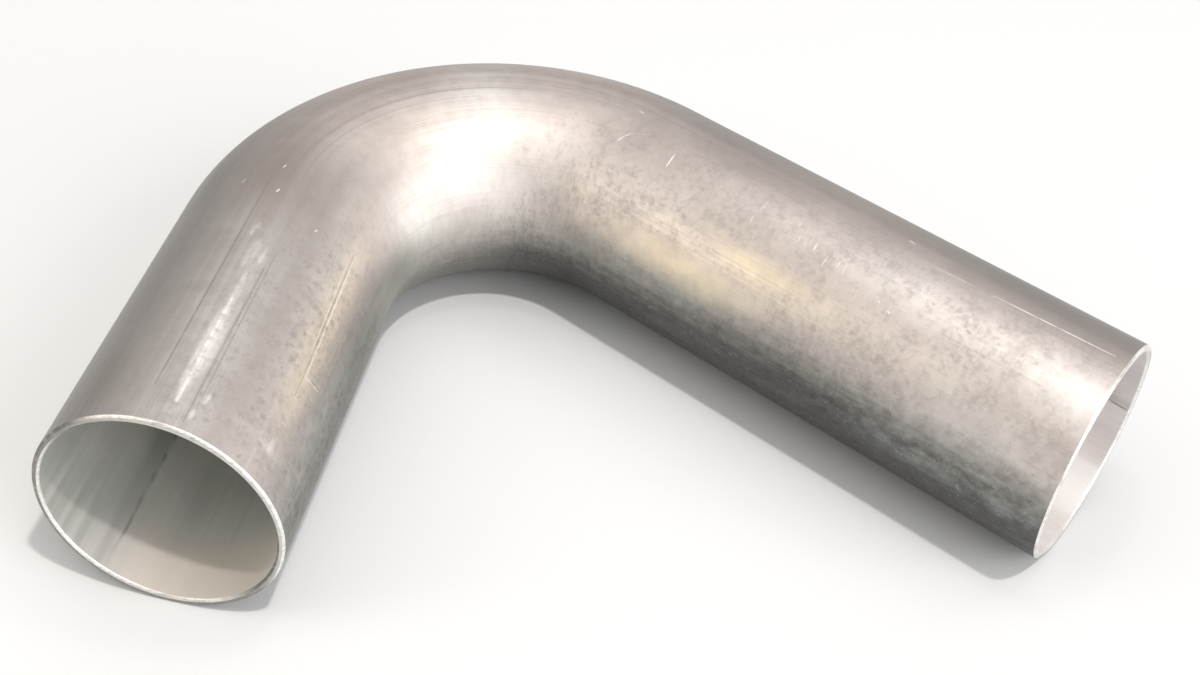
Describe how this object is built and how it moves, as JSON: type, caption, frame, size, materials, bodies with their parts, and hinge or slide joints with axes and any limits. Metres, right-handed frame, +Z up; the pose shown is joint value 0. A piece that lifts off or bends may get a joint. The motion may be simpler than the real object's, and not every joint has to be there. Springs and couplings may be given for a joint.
{
  "type": "aluminium elbow pipe",
  "caption": "Thin-walled round aluminium tube bent once through 120 degrees, with one long and one short straight leg and plain open ends, to carry air between hoses.",
  "frame": {"origin": "on the floor, under the middle of the tube's box as it lies on its side", "axes": "+X out of the long leg's mouth, +Z up at right angles to the plane of the bend, and the short leg's mouth faces between +X and -Y"},
  "size_m": [0.2492, 0.228, 0.0635],
  "materials": {
    "mill_aluminium": "bare mill finish, dull and warm grey, with fine drawing lines, mottled oxide and light scuffs"
  },
  "bodies": {
    "root": {"elbow_pipe": "mill_aluminium"}
  },
  "joints": []
}
